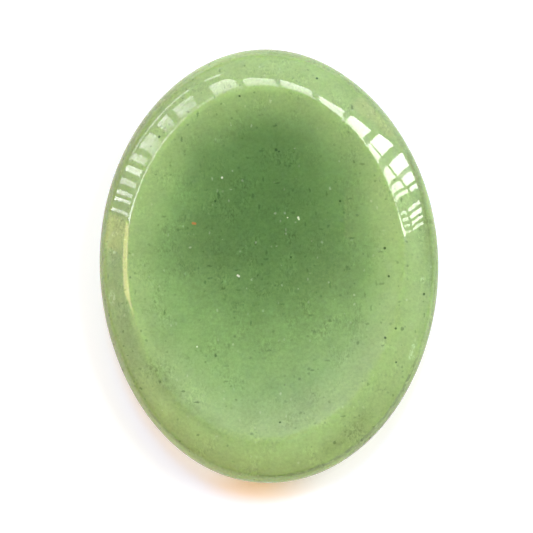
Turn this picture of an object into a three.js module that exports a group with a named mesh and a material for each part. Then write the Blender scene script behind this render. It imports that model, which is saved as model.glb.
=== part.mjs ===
// A palm stone: one oval piece of polished green aventurine, made to be rubbed with the thumb.
// Its back is a low rounded belly with a small flat spot that it rests on. Its top is a low dome
// with a shallow thumb hollow ground into it, and the two meet in a softened oval ridge, which is
// a little higher at the two ends.
// Millimetres, +Z up, origin at the middle of the flat spot, long axis along Y.

import * as THREE from "three";

// Driving dimensions
const LENGTH = 45;
const WIDTH = 35;
const THICKNESS = 6.8; // flat spot to ridge, half way along the two long sides
const DOME_HEIGHT = 4.4; // of the whole dome above the widest level, before the hollow is ground
const END_GAIN = 1.6; // how much higher the dome stands at the two ends, so that the ridge rises there
const RIDGE_SHARE = 0.807; // where dome and hollow meet, as a share of the way from middle to edge
const RIDGE_SOFTNESS = 0.14; // how far the polish has rounded the ridge
const HOLLOW_DEPTH = 1.4; // ridge to the lowest point of the hollow, from the two long sides
const HOLLOW_OFFSET_X = -0.3; // the hollow was ground by eye, a little off the middle
const HOLLOW_OFFSET_Y = -0.35;
const FLAT_SHARE = 0.36; // half width of the flat spot, as a share of the stone's

// The outline was ground by hand, so it strays from a true ellipse by a tenth of a millimetre or so.
const STRAYS = [
  { waves: 3, share: 0.0032, phase: 15 },
  { waves: 4, share: 0.0026, phase: -16 },
  { waves: 5, share: 0.0016, phase: 79 },
];

// How finely the surface is cut into flat facets
const SEGMENTS = 84;
const BELLY_STEPS = 8;
const DOME_STEPS = 8;
const RIDGE_STEPS = 8;
const HOLLOW_STEPS = 9;
const RIDGE_BAND = 0.03; // half width of the finely cut band at the ridge, as a share

const HALF_WIDTH = WIDTH / 2;
const HALF_LENGTH = LENGTH / 2;
const ridgeDrop = Math.sqrt(1 - RIDGE_SHARE ** 2); // of the dome from its middle to the ridge, as a share
const RIDGE_HEIGHT = THICKNESS + RIDGE_SOFTNESS / 2; // of the sharp ridge, before it is rounded
const GIRDLE_HEIGHT = RIDGE_HEIGHT - DOME_HEIGHT * ridgeDrop; // the level at which the stone is widest
const HOLLOW_FLOOR = THICKNESS - HOLLOW_DEPTH;
const hollowMiddle = new THREE.Vector2(HOLLOW_OFFSET_X / HALF_WIDTH, HOLLOW_OFFSET_Y / HALF_LENGTH);

// Height of the top over the flat spot: the lower of dome and hollow, rounded where they meet.
// The place is across the unit circle that is drawn out to the stone's oval at the end.
function topHeight(place) {
  const domeHeight = DOME_HEIGHT + END_GAIN * place.y ** 2;
  const dome = GIRDLE_HEIGHT + domeHeight * Math.sqrt(Math.max(0, 1 - place.lengthSq()));
  const inHollow = place.clone().sub(hollowMiddle).divideScalar(RIDGE_SHARE);
  const hollow = HOLLOW_FLOOR + (RIDGE_HEIGHT - HOLLOW_FLOOR) * inHollow.lengthSq()
    + END_GAIN * RIDGE_SHARE ** 2 * ridgeDrop * inHollow.y ** 2;
  return (dome + hollow - Math.hypot(dome - hollow, RIDGE_SOFTNESS)) / 2;
}

// Half of the belly's section, from the middle of the flat spot to just under the stone's edge.
function bellySection() {
  const curve = new THREE.EllipseCurve(
    FLAT_SHARE, GIRDLE_HEIGHT, 1 - FLAT_SHARE, GIRDLE_HEIGHT, -Math.PI / 2, 0, false,
  );
  return [new THREE.Vector2(0, 0), ...curve.getPoints(BELLY_STEPS).slice(0, -1)];
}

// Where the loops of the top lie, from the stone's edge over the ridge to the middle of the hollow.
function topSection() {
  const outer = RIDGE_SHARE + RIDGE_BAND;
  const inner = RIDGE_SHARE - RIDGE_BAND;
  const shares = [];
  for (let i = 0; i < DOME_STEPS; i += 1) {
    shares.push(Math.cos((i / DOME_STEPS) * Math.acos(outer)));
  }
  for (let i = 0; i < RIDGE_STEPS; i += 1) {
    shares.push(THREE.MathUtils.lerp(outer, inner, i / RIDGE_STEPS));
  }
  for (let i = 0; i <= HOLLOW_STEPS; i += 1) {
    shares.push(inner * (1 - i / HOLLOW_STEPS));
  }
  return shares.map((share) => new THREE.Vector2(share, GIRDLE_HEIGHT));
}

// Moves a point of the top with the hollow, less and less from the ridge out to the edge, and lifts it.
function liftTop(point) {
  const place = new THREE.Vector2(point.x, point.y);
  const hold = 1 - THREE.MathUtils.smoothstep(place.length(), RIDGE_SHARE, 1);
  place.addScaledVector(hollowMiddle, hold);
  point.set(place.x, place.y, topHeight(place));
}

// How far the outline strays at an angle round the stone, as a factor near 1.
function stray(angle) {
  return STRAYS.reduce(
    (factor, s) => factor + s.share * Math.cos(s.waves * angle - THREE.MathUtils.degToRad(s.phase)),
    1,
  );
}

// The section turned round the upright axis, then drawn out from a circle to the stone's oval.
function stoneGeometry() {
  const belly = bellySection();
  const section = [...belly, ...topSection()];
  const geometry = new THREE.LatheGeometry(section, SEGMENTS);
  geometry.rotateX(Math.PI / 2);
  const position = geometry.getAttribute("position");
  const point = new THREE.Vector3();
  for (let i = 0; i < position.count; i += 1) {
    point.fromBufferAttribute(position, i);
    if (i % section.length >= belly.length) {
      liftTop(point);
    }
    const factor = stray(Math.atan2(point.y, point.x));
    position.setXYZ(i, point.x * HALF_WIDTH * factor, point.y * HALF_LENGTH * factor, point.z);
  }
  geometry.computeVertexNormals();
  return geometry;
}

const aventurine = new THREE.MeshStandardMaterial({
  name: "polished_aventurine",
  color: new THREE.Color().setRGB(0.56, 0.68, 0.42, THREE.SRGBColorSpace),
  roughness: 0.08,
  metalness: 0,
});

const stone = new THREE.Mesh(stoneGeometry(), aventurine);
stone.name = "palm_stone";

const part = new THREE.Group();
part.add(stone);

export default part;
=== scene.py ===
# A palm stone of polished green aventurine, lying on its flat spot on a pale table.
# Metres throughout, except that the finish of the stone is worked out in millimetres.
import math

import bpy
from mathutils import Matrix, Vector


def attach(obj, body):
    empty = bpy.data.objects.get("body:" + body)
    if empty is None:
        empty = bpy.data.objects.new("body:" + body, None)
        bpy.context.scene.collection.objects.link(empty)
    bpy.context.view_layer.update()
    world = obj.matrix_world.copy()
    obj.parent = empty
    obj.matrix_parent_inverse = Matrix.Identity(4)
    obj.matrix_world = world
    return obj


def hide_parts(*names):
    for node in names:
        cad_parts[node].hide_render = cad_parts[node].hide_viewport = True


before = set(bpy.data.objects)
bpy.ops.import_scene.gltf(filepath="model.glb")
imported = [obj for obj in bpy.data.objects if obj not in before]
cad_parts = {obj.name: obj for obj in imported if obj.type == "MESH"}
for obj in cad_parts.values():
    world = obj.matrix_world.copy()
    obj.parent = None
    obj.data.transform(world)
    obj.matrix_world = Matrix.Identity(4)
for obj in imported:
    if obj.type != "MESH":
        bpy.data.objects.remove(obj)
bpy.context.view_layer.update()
scene = bpy.context.scene


# Camera: almost straight above, leaning a little to the right and to the near end of the stone.
cameraSettings = {
    "target": (-0.00015, -0.00019, 0.004),
    "distance": 0.2595,
    "leanRight": 4.0,  # degrees
    "leanNear": 6.5,
    "roll": -1.92,
    "lens": 169.4,  # millimetres
    "sensorWidth": 36.0,
    "clip": (0.01, 20.0),
}


def makeCamera(settings):
    right = math.tan(math.radians(settings["leanRight"]))
    near = math.tan(math.radians(settings["leanNear"]))
    back = Vector((right, -near, 1.0)).normalized()
    up = Vector((0.0, 1.0, 0.0))
    up = (up - back * up.dot(back)).normalized()
    turn = Matrix((up.cross(back), up, back)).transposed()
    turn = turn @ Matrix.Rotation(math.radians(settings["roll"]), 3, "Z")
    data = bpy.data.cameras.new("photoView")
    data.sensor_width = settings["sensorWidth"]
    data.lens = settings["lens"]
    data.clip_start, data.clip_end = settings["clip"]
    camera = bpy.data.objects.new("photoView", data)
    scene.collection.objects.link(camera)
    place = Vector(settings["target"]) + back * settings["distance"]
    camera.matrix_world = Matrix.Translation(place) @ turn.to_4x4()
    return camera


scene.camera = makeCamera(cameraSettings)
print("camera made")


# A node's output socket. A sum written on it in Python becomes Math nodes.
class Wire:
    def __init__(self, work, socket):
        self.work = work
        self.socket = socket

    def __add__(self, other):
        return self.work.math("ADD", self, other)

    def __radd__(self, other):
        return self.work.math("ADD", other, self)

    def __sub__(self, other):
        return self.work.math("SUBTRACT", self, other)

    def __rsub__(self, other):
        return self.work.math("SUBTRACT", other, self)

    def __mul__(self, other):
        return self.work.math("MULTIPLY", self, other)

    def __rmul__(self, other):
        return self.work.math("MULTIPLY", other, self)

    def __truediv__(self, other):
        return self.work.math("DIVIDE", self, other)

    def __gt__(self, other):
        return self.work.math("GREATER_THAN", self, other)


# A node tree being built, and the ways of adding a node to it.
class NodeWork:
    def __init__(self, tree):
        self.tree = tree
        tree.nodes.clear()

    def node(self, kind, settings=None, values=None, output=0):
        made = self.tree.nodes.new(kind)
        for name, value in (settings or {}).items():
            setattr(made, name, value)
        for name, value in (values or {}).items():
            if isinstance(value, Wire):
                self.tree.links.new(value.socket, made.inputs[name])
            else:
                made.inputs[name].default_value = value
        return Wire(self, made.outputs[output]) if len(made.outputs) else made

    def math(self, operation, *values):
        return self.node("ShaderNodeMath", {"operation": operation}, dict(enumerate(values)))

    def vector(self, operation, *values, scale=None):
        sockets = dict(enumerate(values))
        if scale is not None:
            sockets["Scale"] = scale
        return self.node("ShaderNodeVectorMath", {"operation": operation}, sockets)

    def root(self, value):
        return self.math("SQRT", self.math("MAXIMUM", value, 0.0))

    # 0 up to the start, 1 from the end on, even or smooth between them
    def fade(self, value, start, end, smooth=True):
        shape = "SMOOTHSTEP" if smooth else "LINEAR"
        ends = {"Value": value, "From Min": start, "From Max": end}
        return self.node("ShaderNodeMapRange", {"interpolation_type": shape}, ends)

    # colour under, colour over, and how much of the second shows
    def paint(self, under, over, amount):
        colours = {0: amount, 6: under, 7: over}
        return self.node("ShaderNodeMix", {"data_type": "RGBA"}, colours, 2)

    def split(self, vector):
        parts = self.node("ShaderNodeSeparateXYZ", None, {0: vector}).socket.node
        return [Wire(self, socket) for socket in parts.outputs]

    def join(self, x, y, z):
        return self.node("ShaderNodeCombineXYZ", None, {0: x, 1: y, 2: z})

    def noise(self, place, scale, detail=2.0, rough=0.5, distortion=0.0):
        values = {"Vector": place, "Scale": scale, "Detail": detail, "Roughness": rough}
        return self.node("ShaderNodeTexNoise", None, {**values, "Distortion": distortion})


# The stone: its section turned round the upright axis and drawn out to an oval.
stoneSizes = {
    "Length": 0.045,
    "Width": 0.035,
    "Thickness": 0.0068,  # flat spot to ridge, half way along the two long sides
    "Dome Height": 0.0044,
    "End Gain": 0.0016,  # how much higher the dome stands at the two ends
    "Ridge Share": 0.807,  # where dome and hollow meet, on the way from middle to edge
    "Ridge Softness": 0.00014,
    "Hollow Depth": 0.0014,
    "Hollow Offset X": -0.0003,
    "Hollow Offset Y": -0.00035,
    "Flat Share": 0.36,
    "Polish Waves": 0.000006,
    "Seed": 4.0,
}
# waves of the outline: how many go round, how far they stray as a share, and their phase
stoneStrays = ((3, 0.0032, 15.0), (4, 0.0026, -16.0), (5, 0.0016, 79.0))
stoneRows = {"flat": 5, "belly": 34, "dome": 36, "ridge": 30, "hollow": 40}
stoneSpokes = 288
ridgeBand = 0.03  # half width of the finely cut band at the ridge, as a share
weldDistance = 0.000001  # closes the seam and the two middles of the grid
polishWaveScale = 160.0  # waves per metre, roughly
polishWaveStart = 0.001  # the waves grow over the first millimetre above the table


def stoneTree():
    tree = bpy.data.node_groups.new("ovalStone", "GeometryNodeTree")
    work = NodeWork(tree)
    for name in stoneSizes:
        tree.interface.new_socket(name, in_out="INPUT", socket_type="NodeSocketFloat")
    tree.interface.new_socket("Finish", in_out="INPUT", socket_type="NodeSocketMaterial")
    tree.interface.new_socket("Stone", in_out="OUTPUT", socket_type="NodeSocketGeometry")
    given = work.node("NodeGroupInput").socket.node
    size = {socket.name: Wire(work, socket) for socket in given.outputs if socket.name}

    rows = sum(stoneRows.values())
    starts = {}
    passed = 0
    for name, count in stoneRows.items():
        starts[name] = (passed / rows, (passed + count) / rows)
        passed += count
    grid = work.node(
        "GeometryNodeMeshGrid",
        None,
        {"Size X": 1.0, "Size Y": 1.0, "Vertices X": stoneSpokes + 1, "Vertices Y": rows + 1},
        "Mesh",
    )
    across, along, _ = work.split(work.node("GeometryNodeInputPosition"))
    along = along + 0.5
    turn = (across + 0.5) * math.tau
    stretch = {name: work.fade(along, *ends, smooth=False) for name, ends in starts.items()}
    isTop = along > starts["dome"][0] + 0.5 / rows

    # how far out each row lies, from the flat spot over the edge and the ridge into the hollow
    ridge = size["Ridge Share"]
    outer = ridge + ridgeBand
    inner = ridge - ridgeBand
    flat = size["Flat Share"]
    bellyTurn = stretch["belly"] * (math.pi / 2)
    share = flat * stretch["flat"] + (1.0 - flat) * work.math("SINE", bellyTurn)
    share = share - (1.0 - work.math("COSINE", stretch["dome"] * work.math("ARCCOSINE", outer)))
    share = share - (outer - inner) * stretch["ridge"] - inner * stretch["hollow"]

    # the rows of the top move with the hollow, less and less from the ridge out to the edge
    halfWidth = size["Width"] / 2.0
    halfLength = size["Length"] / 2.0
    middleX = size["Hollow Offset X"] / halfWidth
    middleY = size["Hollow Offset Y"] / halfLength
    hold = (1.0 - work.fade(share, ridge, 1.0)) * isTop
    placeX = share * work.math("COSINE", turn) + middleX * hold
    placeY = share * work.math("SINE", turn) + middleY * hold

    # the top is the lower of dome and hollow, rounded where they meet
    drop = work.root(1.0 - ridge * ridge)
    softness = size["Ridge Softness"]
    ridgeHeight = size["Thickness"] + softness / 2.0
    girdle = ridgeHeight - size["Dome Height"] * drop
    hollowFloor = size["Thickness"] - size["Hollow Depth"]
    fall = work.root(1.0 - placeX * placeX - placeY * placeY)
    dome = girdle + (size["Dome Height"] + size["End Gain"] * placeY * placeY) * fall
    inX = (placeX - middleX) / ridge
    inY = (placeY - middleY) / ridge
    hollow = hollowFloor + (ridgeHeight - hollowFloor) * (inX * inX + inY * inY)
    hollow = hollow + size["End Gain"] * ridge * ridge * drop * inY * inY
    apart = dome - hollow
    top = (dome + hollow - work.root(apart * apart + softness * softness)) / 2.0
    belly = girdle * (1.0 - work.math("COSINE", bellyTurn))
    height = belly + (top - belly) * isTop

    # the outline strays a little from a true oval
    angle = work.math("ARCTAN2", placeY, placeX)
    stray = 1.0
    for waves, amount, phase in stoneStrays:
        stray = stray + amount * work.math("COSINE", angle * waves - math.radians(phase))
    place = work.join(placeX * halfWidth * stray, placeY * halfLength * stray, height)
    formed = work.node("GeometryNodeSetPosition", None, {"Geometry": grid, "Position": place})
    weld = {"Geometry": formed, "Distance": weldDistance}
    closed = work.node("GeometryNodeMergeByDistance", None, weld)
    smooth = work.node("GeometryNodeSetShadeSmooth", None, {0: closed})

    # hand polishing leaves the faintest waves, but not on the flat spot
    position = work.node("GeometryNodeInputPosition")
    shifted = work.vector("ADD", position, work.join(size["Seed"], 0.0, 0.0))
    _, _, level = work.split(position)
    wave = (work.noise(shifted, polishWaveScale, 1.0) - 0.5) * 2.0 * size["Polish Waves"]
    wave = wave * work.fade(level, 0.0, polishWaveStart)
    lift = work.vector("SCALE", work.node("GeometryNodeInputNormal"), scale=wave)
    waved = work.node("GeometryNodeSetPosition", None, {"Geometry": smooth, "Offset": lift})
    whole = work.node("GeometryNodeRealizeInstances", None, {0: waved})
    dress = {"Geometry": whole, "Material": size["Finish"]}
    finished = work.node("GeometryNodeSetMaterial", None, dress)
    work.node("NodeGroupOutput", None, {0: finished})
    return tree


# Puts a tree on an empty mesh, works it out and leaves a plain mesh.
def shapeFromTree(name, tree, settings):
    piece = bpy.data.objects.new(name, bpy.data.meshes.new(name))
    scene.collection.objects.link(piece)
    modifier = piece.modifiers.new(name, "NODES")
    modifier.node_group = tree
    for item in tree.interface.items_tree:
        if item.in_out == "INPUT":
            modifier[item.identifier] = settings[item.name]
    graph = bpy.context.evaluated_depsgraph_get()
    mesh = bpy.data.meshes.new_from_object(piece.evaluated_get(graph), depsgraph=graph)
    piece.modifiers.remove(modifier)
    piece.data = mesh
    mesh.name = name
    return piece


# The finish of the stone. Places and sizes are in millimetres, on Object coordinates. A noise is
# its scale, in waves to a millimetre roughly, then detail, roughness and distortion.
stoneFinish = {
    "halfWidth": 17.5,
    "halfLength": 22.5,
    "deepGreenAndShade": (0.106, 0.221, 0.059, 1.0),  # the deep green in the middle: partly the stone's own tone, partly painted shade where less light gets into the thin middle and onto the far wall of the hollow
    "body": (0.298, 0.46, 0.170, 1.0),
    # the paler rim: partly the stone's own tone, partly painted light that soaks in at the sides
    "paleRimAndLight": (0.355, 0.483, 0.197, 1.0),
    "heartMiddle": (0.4, 6.9),
    "heartHalf": (12.3, 17.2),
    "heartFade": (0.11, 1.45),
    "rimFade": (0.56, 0.86),
    "drift": (0.14, 2.0),  # how unevenly heart, rim and soft clouds end
    "heartDrift": 0.30,
    "rimDrift": 0.08,
    "cloudDrift": 0.3,
    "cloud": (0.5, 3.0, 0.6),
    "cloudTone": 0.30,
    "grain": (3.0, 3.0, 0.75),
    "grainTone": 0.75,
    "hatch": (2.6, 2.0, 0.7, 0.8),
    "hatchSqueeze": (1.6, 0.8, 1.0),
    "hatchTone": 1.5,
    "busy": (0.4, 2.0),  # busy places, where the hatching is strong
    "busyFade": (0.44, 0.72),
    "calmFade": (0.35, 0.6),  # the stone gets calmer on the way out
    "calmTone": 0.3,
    "narrowBand": 0.02,  # narrower bands are broken up
    "breaks": (1.3, 2.0),
    "breakFade": (0.34, 0.52),
    "bandCore": 0.3,  # the even part in the middle of a band, as a share of its half width
    "bandReach": 0.6,  # and along it, as a share of half its angle
    "scuff": (0.60, 0.74, 0.42, 1.0),
    "scuffCore": 0.4,
    "scuffFade": (0.44, 0.60),
    "scuffAmount": 0.6,
    "inclusion": (0.035, 0.085, 0.025, 1.0),  # fine dark specks of mica
    # the colour of painted glints of mica flakes
    "glint": (0.80, 0.86, 0.62, 1.0),
    "rust": (0.62, 0.20, 0.06, 1.0),
    "bendScale": 3.0,
    "bend": 0.25,
    "busySpecks": 0.08,  # cells that get a speck where it is busy, and lose it where it is calm
    "calmSpecks": 0.05,
    "speckCore": 0.35,
    "faintestSpeck": 0.3,
    "markCore": 0.4,
    "markWobble": 0.12,
    "roughness": 0.02,
    "ior": 1.54,
    "scatterRadius": (1.0, 1.6, 0.7),  # how far red, green and blue light enter, times the scale
    "scatterScale": 0.002,
}
# soft ovals a little paler or darker: x, y, half across, half along, how much
softClouds = (
    (-0.5, 15.9, 5.5, 3.5, 0.10),
    (-9.8, 6.4, 3.6, 9.0, 0.09),
    (2.0, -14.4, 8.5, 5.0, -0.10),
    (10.4, -16.4, 3.2, 3.6, 0.10),
    (-7.0, 1.8, 9.5, 6.0, -0.16),
    (7.5, -0.5, 8.0, 6.0, -0.12),
    (-12.8, -9.2, 5.6, 8.0, -0.14),
    (11.5, 1.5, 5.2, 13.2, 0.14),
    (11.7, -18.0, 7.2, 7.5, -0.16),
    (6.9, 8.5, 4.2, 10.5, 0.08),
    (-3.7, -0.1, 3.2, 0.5, -0.07),
    (3.2, 0.9, 1.8, 0.3, -0.10),
    (-2.4, 1.3, 0.9, 0.6, 0.08),
)
# bands of painted shade and painted light along the outline and the ridge, such as dark lines near
# the edge, a pale edge, a pale crest and paler slopes on the near side: share of the way out, half
# width, middle and half of the angle, how much
paintedShadeAndLightBands = (
    (0.974, 0.009, -61, 38, -0.26),
    (0.974, 0.011, -29, 9, -0.16),
    (0.972, 0.008, -129, 14, -0.22),
    (0.989, 0.008, -97, 45, 0.10),
    (0.797, 0.024, 112, 42, 0.11),
    (0.985, 0.035, 55, 45, -0.18),
    (0.998, 0.020, -27, 45, -0.20),
    (0.985, 0.030, 165, 48, -0.20),
    (0.950, 0.045, 138, 26, -0.12),
    (0.935, 0.050, 28, 40, -0.10),
    (0.810, 0.060, -52, 38, 0.08),
    (0.875, 0.050, -90, 42, 0.08),
    (0.910, 0.045, -61, 13, -0.13),
    (0.810, 0.050, -130, 24, -0.12),
    (0.900, 0.045, -140, 11, 0.12),
    (0.800, 0.060, -156, 13, 0.12),
    (0.880, 0.060, 178, 28, -0.10),
    (0.955, 0.030, -2, 24, -0.08),
    (0.973, 0.022, 12, 26, -0.15),
    (0.805, 0.050, -8, 40, -0.05),
)
# places crowded with fine hatching: x, y, radius
hatchedPlaces = (
    (2.4, 2.7, 1.0), (-5.9, 5.8, 0.9), (2.5, 0.6, 0.6), (-2.1, 6.4, 0.8), (0.8, -2.3, 0.6),
    (3.7, -4.3, 0.7), (8.4, -17.9, 1.5), (-2.4, 1.3, 0.9), (12.0, -9.0, 0.8),
)
# pale scuffs on the rim: x, y, half lengths and turn
rimScuffs = (
    (14.65, -9.4, 0.30, 1.35, -20.0), (14.5, -10.3, 0.45, 0.40, 0.0), (15.9, -2.5, 0.30, 0.50, 0.0),
    (-16.1, -3.0, 0.55, 1.0, 0.0), (-15.6, 3.6, 0.50, 0.35, 0.0), (-15.9, 1.7, 0.60, 0.30, 0.0),
)
# Layers of specks: how many cells to a millimetre, radius, share of the cells left bare, strength,
# and how the cells are squeezed along each axis, which draws the specks out into short strokes.
darkSpecks = (
    (2.0, 0.19, 0.85, 0.40, (1.0, 1.0, 1.0)),
    (1.7, 0.17, 0.90, 0.55, (0.4, 1.0, 1.0)),
    (1.7, 0.17, 0.91, 0.55, (1.0, 0.4, 1.0)),
    (1.1, 0.22, 0.93, 0.80, (1.0, 0.8, 1.0)),
)
paintedGlintSpecks = (
    (1.9, 0.15, 0.86, 0.24, (1.0, 0.7, 1.0)),
    (1.5, 0.14, 0.93, 0.30, (0.6, 1.0, 1.0)),
)
# single marks: x, y, radius
darkMarks = (
    (1.4, 11.6, 0.21), (5.9, 18.8, 0.17), (-2.1, 17.2, 0.16), (-10.6, 13.4, 0.20), (-5.1, 6.6, 0.16),
    (7.8, 6.0, 0.18), (12.2, 0.9, 0.20), (12.5, -2.0, 0.15), (16.0, -3.9, 0.18), (13.0, -7.4, 0.15),
    (0.9, -16.5, 0.15), (11.9, -8.3, 0.18), (12.9, -10.8, 0.15), (2.5, 0.5, 0.16), (1.7, 11.4, 0.12),
)
# painted glints of mica flakes
paintedGlintMarks = (
    (-4.3, 9.0, 0.15), (3.41, 4.55, 0.16), (3.47, 4.38, 0.14), (2.3, 4.6, 0.10),
    (-3.05, -1.17, 0.15), (-2.92, -1.25, 0.14), (-7.4, -8.4, 0.12),
)
rustMarks = ((-7.45, 4.4, 0.20), (-7.25, 4.35, 0.18))
speckKinds = (("inclusion", darkSpecks), ("glint", paintedGlintSpecks))
markKinds = (("inclusion", darkMarks, 0.85), ("rust", rustMarks, 0.7), ("glint", paintedGlintMarks, 0.95))


def aventurine(settings):
    material = bpy.data.materials.new("polishedAventurine")
    material.use_nodes = True
    work = NodeWork(material.node_tree)
    metres = work.node("ShaderNodeTexCoord", None, None, "Object")
    place = work.vector("MULTIPLY", metres, (1000.0, 1000.0, 1000.0))
    x, y, _ = work.split(place)

    # how far a point lies from the middle of an oval, where 1 is on its edge
    def apart(acrossMiddle, alongMiddle, acrossHalf=1.0, alongHalf=1.0, turn=0.0):
        across = x - acrossMiddle
        along = y - alongMiddle
        if turn:
            level, rise = math.cos(math.radians(turn)), math.sin(math.radians(turn))
            across, along = across * level + along * rise, along * level - across * rise
        across = across / acrossHalf
        along = along / alongHalf
        return work.root(across * across + along * along)

    # zones of colour, with soft uneven borders: a deep middle that is partly painted shade and a
    # paler rim that is partly painted light
    drift = work.noise(place, *settings["drift"]) - 0.5
    share = apart(0.0, 0.0, settings["halfWidth"], settings["halfLength"])
    depth = apart(*settings["heartMiddle"], *settings["heartHalf"]) + drift * settings["heartDrift"]
    isBody = work.fade(depth, *settings["heartFade"])
    colour = work.paint(settings["deepGreenAndShade"], settings["body"], isBody)
    isRim = work.fade(share + drift * settings["rimDrift"], *settings["rimFade"])
    colour = work.paint(colour, settings["paleRimAndLight"], isRim)

    # clouds, bands of painted shade and painted light, fine grain, and hatching that is strong in
    # some places only
    cloud = work.noise(place, *settings["cloud"])
    grain = work.noise(place, *settings["grain"])
    hatchPlace = work.vector("MULTIPLY", place, settings["hatchSqueeze"])
    hatch = work.noise(hatchPlace, *settings["hatch"])
    busy = work.fade(work.noise(place, *settings["busy"]), *settings["busyFade"])
    for *hatched, radius in hatchedPlaces:
        core = radius * settings["markCore"]
        busy = work.math("MAXIMUM", busy, 1.0 - work.fade(apart(*hatched), core, radius))
    calm = work.fade(share, *settings["calmFade"])
    fine = (grain - 0.5) * settings["grainTone"] + (hatch - 0.5) * busy * settings["hatchTone"]
    fine = fine * (1.0 - calm * settings["calmTone"])
    tone = 1.0 + (cloud - 0.5) * settings["cloudTone"] + fine
    for *oval, shift in softClouds:
        away = apart(*oval) + drift * settings["cloudDrift"]
        tone = tone + (1.0 - work.fade(away, 0.0, 1.0)) * shift
    broken = work.fade(work.noise(place, *settings["breaks"]), *settings["breakFade"])
    # bands of painted shade and painted light along the outline and the ridge
    for bandShare, halfBand, angle, halfAngle, shift in paintedShadeAndLightBands:
        ways = math.cos(math.radians(angle)), math.sin(math.radians(angle))
        turned = x * (ways[0] / settings["halfWidth"]) + y * (ways[1] / settings["halfLength"])
        reach = halfAngle * settings["bandReach"]
        ends = math.cos(math.radians(halfAngle)), math.cos(math.radians(reach))
        core = halfBand * settings["bandCore"]
        band = 1.0 - work.fade(work.math("ABSOLUTE", share - bandShare), core, halfBand)
        band = band * work.fade(turned / share, *ends)
        tone = tone + (band * broken if halfBand < settings["narrowBand"] else band) * shift
    colour = work.vector("SCALE", colour, scale=tone)
    for scuff in rimScuffs:
        near = 1.0 - work.fade(apart(*scuff), settings["scuffCore"], 1.0)
        near = near * work.fade(hatch, *settings["scuffFade"])
        colour = work.paint(colour, settings["scuff"], near * settings["scuffAmount"])

    # specks of mica, each a little bent: dark ones, and pale ones that are painted glints of the
    # flakes
    warping = {"Vector": place, "Scale": settings["bendScale"], "Detail": 1.0}
    warp = work.node("ShaderNodeTexNoise", None, warping, "Color")
    warp = work.vector("SUBTRACT", warp, (0.5, 0.5, 0.5))
    bent = work.vector("ADD", place, work.vector("SCALE", warp, scale=settings["bend"]))
    faintest = settings["faintestSpeck"]
    for finish, layers in speckKinds:
        for scale, radius, bare, amount, squeeze in layers:
            spread = {"Vector": work.vector("MULTIPLY", bent, squeeze), "Scale": scale}
            cells = work.node("ShaderNodeTexVoronoi", None, spread).socket.node
            chance, size, _ = work.split(Wire(work, cells.outputs["Color"]))
            crowd = chance + busy * settings["busySpecks"] - calm * settings["calmSpecks"]
            away = Wire(work, cells.outputs["Distance"]) / scale
            near = 1.0 - work.fade(away, radius * settings["speckCore"], radius)
            strength = size * (1.0 - faintest) + faintest
            colour = work.paint(colour, settings[finish], near * (crowd > bare) * strength * amount)

    # single marks that catch the eye; the pale ones are painted glints
    for finish, marks, amount in markKinds:
        for acrossMark, alongMark, radius in marks:
            away = apart(acrossMark, alongMark) + (grain - 0.5) * settings["markWobble"]
            near = 1.0 - work.fade(away, radius * settings["markCore"], radius)
            colour = work.paint(colour, settings[finish], near * amount)

    shader = work.node(
        "ShaderNodeBsdfPrincipled",
        None,
        {
            "Base Color": colour,
            "Roughness": settings["roughness"],
            "IOR": settings["ior"],
            "Subsurface Weight": 1.0,
            "Subsurface Radius": settings["scatterRadius"],
            "Subsurface Scale": settings["scatterScale"],
            "Subsurface Anisotropy": 0.0,
        },
    )
    work.node("ShaderNodeOutputMaterial", None, {"Surface": shader})
    return material


stoneInputs = {**stoneSizes, "Finish": aventurine(stoneFinish)}
stone = shapeFromTree("polished_stone", stoneTree(), stoneInputs)
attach(stone, "root")
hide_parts("palm_stone")
print("stone made:", len(stone.data.polygons), "faces")


# The table: plain and pale, and so brightly lit that shade hardly shows on it.
tableSettings = {
    "halfSide": 1.2,
    "colour": (0.90, 0.90, 0.90, 1.0),
    "glow": (0.295, 0.28, 0.265, 1.0),
    "coolGlow": (0.295, 0.29, 0.37, 1.0),  # painted cool tint in the shade along the near side
    "coolOval": (0.002, -0.006, 0.0205, 0.0215, 0.85),  # x, y, half across, half along, even core
    "warmGlow": (0.325, 0.16, 0.115, 1.0),  # painted warm shade under the near edge of the stone
    "warmOval": (-0.0022, -0.0229, 0.0074, 0.0044, 0.0),
    "polishColour": (0.83, 0.68, 0.83, 1.0),  # colour and glow as the stone mirrors them
    "polishGlow": (0.27, 0.21, 0.25, 1.0),
    "roughness": 0.8,
}


def makeTable(settings):
    half = settings["halfSide"]
    corners = [(-half, -half, 0), (half, -half, 0), (half, half, 0), (-half, half, 0)]
    mesh = bpy.data.meshes.new("table")
    mesh.from_pydata(corners, [], [(0, 1, 2, 3)])
    material = bpy.data.materials.new("paleTable")
    material.use_nodes = True
    work = NodeWork(material.node_tree)
    across, along, _ = work.split(work.node("ShaderNodeTexCoord", None, None, "Object"))
    glow = settings["glow"]
    # painted tints of the shade round the stone: cool along the near side, warm under the near edge
    for tint in ("cool", "warm"):
        middleX, middleY, halfX, halfY, core = settings[tint + "Oval"]
        u = (across - middleX) / halfX
        v = (along - middleY) / halfY
        within = 1.0 - work.fade(work.root(u * u + v * v), core, 1.0)
        glow = work.paint(glow, settings[tint + "Glow"], within)
    mirrored = work.node("ShaderNodeLightPath", None, None, "Is Glossy Ray")
    shader = work.node(
        "ShaderNodeBsdfPrincipled",
        None,
        {
            "Base Color": work.paint(settings["colour"], settings["polishColour"], mirrored),
            "Roughness": settings["roughness"],
            "Specular IOR Level": 0.0,
            "Emission Color": work.paint(glow, settings["polishGlow"], mirrored),
            "Emission Strength": 1.0,
        },
    )
    work.node("ShaderNodeOutputMaterial", None, {"Surface": shader})
    mesh.materials.append(material)
    table = bpy.data.objects.new("table", mesh)
    scene.collection.objects.link(table)
    return table


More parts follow.
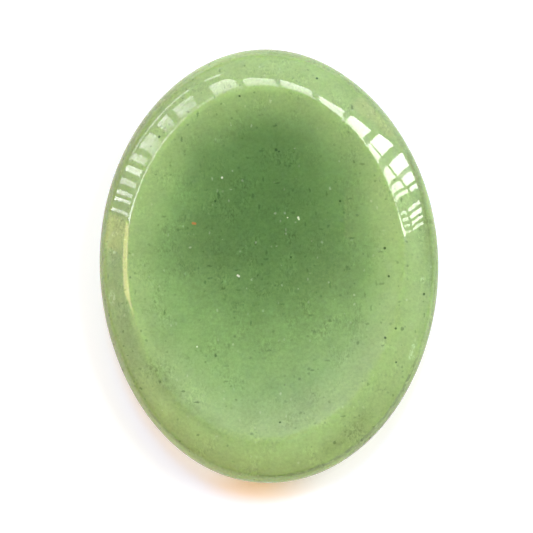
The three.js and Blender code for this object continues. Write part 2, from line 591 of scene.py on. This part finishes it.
makeTable(tableSettings)
print("table made")


# A direction is an azimuth, from the far end of the stone turning to the right, and a height above
# the horizon, both in degrees. This is the way from the stone towards it.
def towards(azimuth, height):
    turn, rise = math.radians(azimuth), math.radians(height)
    level = math.cos(rise)
    return Vector((level * math.sin(turn), level * math.cos(turn), math.sin(rise)))


# Soft lights, which light the stone and the table but aren't mirrored in the polish.
softLights = {
    "right": {"azimuth": 70, "height": 45, "size": 0.5, "power": 6.7, "colour": (0.87, 1.0, 1.0)},
    "left": {"azimuth": 290, "height": 45, "size": 0.5, "power": 4.0, "colour": (1.0, 0.83, 0.75)},
    "farLow": {"azimuth": 8, "height": 48, "size": 0.5, "power": 1.9, "colour": (0.7, 1.0, 0.6)},
    "farHigh": {"azimuth": 3, "height": 69, "size": 0.25, "power": 3.8, "colour": (0.07, 0.45, 1.0)},
}
softLightDistance = 1.0


def makeSoftLight(name, settings):
    data = bpy.data.lights.new(name, "AREA")
    data.size = settings["size"]
    data.energy = settings["power"]
    data.color = settings["colour"]
    light = bpy.data.objects.new(name, data)
    scene.collection.objects.link(light)
    way = towards(settings["azimuth"], settings["height"])
    light.location = way * softLightDistance
    light.rotation_euler = way.to_track_quat("Z", "Y").to_euler()
    light.visible_glossy = False
    return light


for lightName, lightSettings in softLights.items():
    makeSoftLight(lightName + "Light", lightSettings)
print("soft lights hung:", len(softLights))


# Light panels, mirrored in the polish: banks of tall panes round the stone, each with the line that
# its panes stand on and the line that they reach, as corners of azimuth and height. A pane is its
# left and right side and its brightness at foot and head, where 1 is that of white paper.
panelDistance = 1.0
leanStart = 45.0  # the height from which panes lean over to the left, by degrees for each degree
mottle = (45.0, 2.0, 0.6)  # noise that blots the panes, its scale in waves to a metre
mottleTone = 0.5
panelBanks = {
    "left": {
        "colour": (0.94, 0.90, 1.0),
        "mottle": 3.4,
        "foot": [
            (288, 5), (291, 8), (293, 9.5), (296, 11), (299, 13.3), (302, 15), (303.6, 18.8),
            (308.2, 21.8), (310.8, 24), (314.7, 26), (316.9, 27.5), (324.8, 31.8),
        ],
        "head": [(288, 41.5), (302.5, 41.5), (303, 36), (325, 35)],
        "panes": [
            (288.2, 288.9, 8.4, 8.4), (290.7, 291.5, 12.6, 9.8), (292.2, 293.2, 8.4, 8.4),
            (294.6, 295.9, 7, 7), (297.5, 299.0, 9.8, 9.8), (300.3, 302.0, 8.4, 7),
            (303.6, 308.2, 7, 6.3), (310.8, 314.7, 8.4, 6.3), (316.9, 324.8, 7, 6.3),
        ],
    },
    "leftHead": {
        "colour": (0.94, 0.90, 1.0),
        "mottle": 3.4,
        "foot": [(303, 36.6), (325, 35.6)],
        "head": [(303, 52), (308.2, 52), (310.8, 48), (325, 49)],
        "panes": [(303.6, 308.0, 5.4, 3), (310.8, 314.5, 5.1, 3), (316.7, 324.4, 6.3, 3.8)],
        "lean": 0.18,
    },
    "leftRail": {
        "colour": (0.94, 0.90, 1.0),
        "foot": [(300, 9.4), (305, 12), (310.7, 14.4), (317, 16.7), (323.4, 18.4), (338, 25)],
        "head": [(300, 12.4), (305, 15), (310.7, 17.5), (317, 19.8), (323.4, 21.6), (338, 28.4)],
        "panes": [
            (300, 310.7, 4.5, 5.9), (310.7, 323.4, 5.9, 7.2), (323.4, 324.9, 9.1, 9.1),
            (331.5, 338, 6.5, 6.5),
        ],
    },
    "leftCornice": {
        "colour": (0.92, 0.87, 1.0),
        "foot": [(288, 43.5), (296, 54), (331, 57.5)],
        "head": [(288, 54), (296, 61.5), (331, 61.5)],
        "panes": [(288, 296, 10, 11), (296, 312, 10.5, 10.5), (312, 331, 7.5, 8.5)],
    },
    "far": {
        "colour": (1.0, 0.96, 1.0),
        "foot": [
            (331.7, 34.6), (338.5, 35.7), (341.3, 38.6), (343.1, 42), (346.6, 42), (354, 44.5),
            (362.8, 46.4), (365.6, 45.4), (371.7, 46.8), (381.4, 47.5), (385, 48.2), (391, 47.9),
            (396.4, 45),
        ],
        "head": [(331.7, 55.5), (343.1, 56), (346.6, 63), (362.8, 65), (381.4, 67), (396.4, 69)],
        "panes": [
            (331.7, 343.1, 8, 4.5), (346.6, 362.8, 8, 4.5), (365.6, 381.4, 10, 5),
            (385.0, 396.4, 13, 9),
        ],
        "lean": 0.04,
    },
    "right": {
        "colour": (1.0, 0.98, 1.0),
        "foot": [
            (399.3, 44.2), (402, 42), (407, 38.8), (409.3, 32.5), (411, 29), (414.4, 22),
            (417.2, 11), (427, 10.5),
        ],
        "head": [
            (399.3, 52), (407, 52), (409.3, 49.5), (414.4, 46), (417.2, 44), (420.8, 41),
            (422.1, 38), (424.6, 35), (425.4, 32.5), (426.7, 31.5),
        ],
        "panes": [
            (399.3, 407.0, 17, 15), (409.3, 414.4, 18, 18), (417.2, 420.8, 18, 18),
            (420.9, 422.0, 4, 4), (422.1, 424.6, 18, 18), (425.4, 426.7, 15, 15),
        ],
        "lean": 0.16,
    },
    "rightHead": {
        "colour": (1.0, 1.0, 0.95),
        "foot": [
            (399.3, 52), (407, 52), (409.3, 51.5), (414.4, 48), (417.2, 46.8), (420.8, 43.6),
            (422.1, 41), (424.6, 38), (425.4, 36), (426.7, 35),
        ],
        "head": [(399.3, 66), (420.8, 68), (426.7, 60)],
        "panes": [
            (399.3, 407.0, 15, 10), (409.3, 414.4, 16, 12), (417.2, 420.8, 16, 12),
            (422.1, 424.4, 16, 12), (425.4, 426.5, 15, 12),
        ],
        "lean": 0.16,
    },
    "rightBars": {
        "colour": (1.0, 1.0, 0.96),
        "foot": [(429, 19), (437, 22)],
        "head": [(429, 43.5), (437, 42)],
        "panes": [
            (429.6, 430.5, 14, 14), (431.3, 432.4, 16, 16), (433.1, 433.9, 14, 14),
            (434.7, 435.5, 12, 12),
        ],
    },
    "rightBarsHead": {
        "colour": (1.0, 1.0, 0.96),
        "foot": [(429, 46), (437, 44.5)],
        "head": [(429, 58), (437, 51)],
        "panes": [
            (429.6, 430.4, 13, 9), (431.3, 432.2, 13, 9), (433.1, 433.8, 12, 9),
            (434.7, 435.4, 10, 7),
        ],
        "lean": 0.16,
    },
    "rightCornice": {
        "colour": (1.0, 1.0, 0.9),
        "foot": [(394, 63), (424, 66), (434, 52)],
        "head": [(394, 69), (424, 70), (434, 57)],
        "panes": [(394, 400, 10, 10), (400, 424, 15, 15), (424, 434, 16, 16)],
    },
    "rightWall": {
        "colour": (1.0, 0.55, 0.65),
        "foot": [(398, 3), (412, 1), (428, 1), (444, 6)],
        "head": [
            (398, 36), (409, 26), (411, 22), (412.3, 18), (412.4, 6), (428, 6), (428.5, 12),
            (444, 34),
        ],
        "panes": [(398, 412.3, 2.6, 2.0), (412.4, 428, 3.0, 3.0), (428.5, 444, 0.6, 0.6)],
    },
    "warmStrip": {
        "colour": (1.0, 0.72, 0.42),
        "foot": [(272.7, 41), (287.4, 40.5)],
        "head": [(272.7, 57.5), (278, 62.5), (287.4, 66)],
        "panes": [(272.7, 287.4, 7, 9)],
    },
    "warmFoot": {
        "colour": (1.0, 0.74, 0.52),
        "foot": [(280, 2), (287.4, 2)],
        "head": [(280, 40), (287.4, 40)],
        "panes": [(280.4, 287.4, 2.6, 2.8)],
    },
    "warmCorner": {
        "colour": (1.0, 0.85, 0.70),
        "foot": [(261, 67.5), (283, 67.5)],
        "head": [(261, 74), (283, 74)],
        "panes": [(261, 283, 0.7, 1.1)],
    },
}


# The height of a bank's foot or head at an azimuth.
def heightAt(corners, azimuth):
    for (left, low), (right, high) in zip(corners, corners[1:]):
        if azimuth <= right:
            return low + (high - low) * (azimuth - left) / (right - left)
    return corners[-1][1]


# A pane is cut into upright strips where the line at its foot or head bends.
def makePanels(name, bank):
    corners = []
    brightness = []
    bends = [azimuth for azimuth, _ in bank["foot"] + bank["head"]]
    for left, right, footGlow, headGlow in bank["panes"]:
        sides = sorted({left, right} | {bend for bend in bends if left < bend < right})
        for start, end in zip(sides, sides[1:]):
            for line, side in (("foot", start), ("foot", end), ("head", end), ("head", start)):
                height = heightAt(bank[line], side)
                lean = bank.get("lean", 0.0) * max(0.0, height - leanStart)
                corners.append(towards(side - lean, height) * panelDistance)
                brightness.append(footGlow if line == "foot" else headGlow)
    mesh = bpy.data.meshes.new(name)
    mesh.from_pydata(corners, [], [(i, i + 1, i + 2, i + 3) for i in range(0, len(corners), 4)])
    glow = mesh.attributes.new("glow", "FLOAT", "POINT")
    glow.data.foreach_set("value", brightness)
    material = bpy.data.materials.new(name)
    material.use_nodes = True
    work = NodeWork(material.node_tree)
    blots = work.noise(work.node("ShaderNodeTexCoord", None, None, "Object"), *mottle) - 0.5
    strength = work.node("ShaderNodeAttribute", {"attribute_name": "glow"}, None, "Fac")
    strength = strength * (1.0 + blots * bank.get("mottle", mottleTone))
    colour = (*bank["colour"], 1.0)
    light = work.node("ShaderNodeEmission", None, {"Color": colour, "Strength": strength})
    work.node("ShaderNodeOutputMaterial", None, {"Surface": light})
    mesh.materials.append(material)
    panels = bpy.data.objects.new(name, mesh)
    scene.collection.objects.link(panels)
    panels.visible_camera = False
    panels.visible_diffuse = False
    panels.visible_shadow = False
    return panels


for bankName, bankSettings in panelBanks.items():
    makePanels(bankName + "Panels", bankSettings)
print("light panels hung:", sum(len(bank["panes"]) for bank in panelBanks.values()))


# The room: dim walls, warmer and lighter on the near side, a dark line at the horizon and a glow
# on the ceiling at the far side. The camera sees a plain backdrop.
roomSettings = {
    "backdrop": (0.97, 0.97, 0.97, 1.0),
    "horizon": (0.02, 0.025, 0.02, 1.0),
    "softNear": (0.43, 0.40, 0.02, 1.0),  # the light of the near wall
    "softRest": (0.42, 0.20, 0.14, 1.0),  # and of all the rest of the room
    "nearWall": (0.90, 0.75, 0.45, 1.0),  # how the room looks in the polish
    "farWall": (0.72, 0.63, 1.0, 1.0),
    "ceiling": (0.40, 0.40, 0.38, 1.0),
    "ceilingGlow": (1.6, 1.4, 2.0, 1.0),
    "farFade": (-0.7, 0.2),  # from near wall to far wall, as the way towards the far end
    "glowFade": (0.0, 0.4),
    "horizonTop": 6.0,  # degrees
    "wallTop": 40.0,
    "glowTop": 66.0,
    "horizonSoftness": 0.04,
    "wallSoftness": 0.2,
    "glowSoftness": 0.06,
}


def makeRoom(settings):
    world = bpy.data.worlds.new("room")
    scene.world = world
    world.use_nodes = True
    work = NodeWork(world.node_tree)
    direction = work.node("ShaderNodeTexCoord", None, None, "Generated")
    _, far, rise = work.split(work.vector("NORMALIZE", direction))
    horizonTop, wallTop, glowTop = (
        math.sin(math.radians(settings[name])) for name in ("horizonTop", "wallTop", "glowTop")
    )
    isHigh = work.fade(rise, horizonTop, horizonTop + settings["horizonSoftness"])
    glowSoftness = settings["glowSoftness"]

    def room(nearWall, farWall, ceiling, ceilingGlow):
        wall = work.paint(nearWall, farWall, work.fade(far, *settings["farFade"]))
        wall = work.paint(settings["horizon"], wall, isHigh)
        glow = work.paint(ceiling, ceilingGlow, work.fade(far, *settings["glowFade"]))
        aboveGlow = work.fade(rise, glowTop - glowSoftness, glowTop + glowSoftness)
        glow = work.paint(glow, ceiling, aboveGlow)
        return work.paint(wall, glow, work.fade(rise, wallTop, wallTop + settings["wallSoftness"]))

    softRest = settings["softRest"]
    soft = room(settings["softNear"], softRest, softRest, softRest)
    mirrored = room(*(settings[name] for name in ("nearWall", "farWall", "ceiling", "ceilingGlow")))
    isMirrored = work.node("ShaderNodeLightPath", None, None, "Is Glossy Ray")
    colour = work.paint(soft, mirrored, isMirrored)
    isSeen = work.node("ShaderNodeLightPath", None, None, "Is Camera Ray")
    colour = work.paint(colour, settings["backdrop"], isSeen)
    light = work.node("ShaderNodeBackground", None, {"Color": colour, "Strength": 1.0})
    work.node("ShaderNodeOutputWorld", None, {"Surface": light})


makeRoom(roomSettings)
scene.view_settings.view_transform = "Standard"
print("room made")
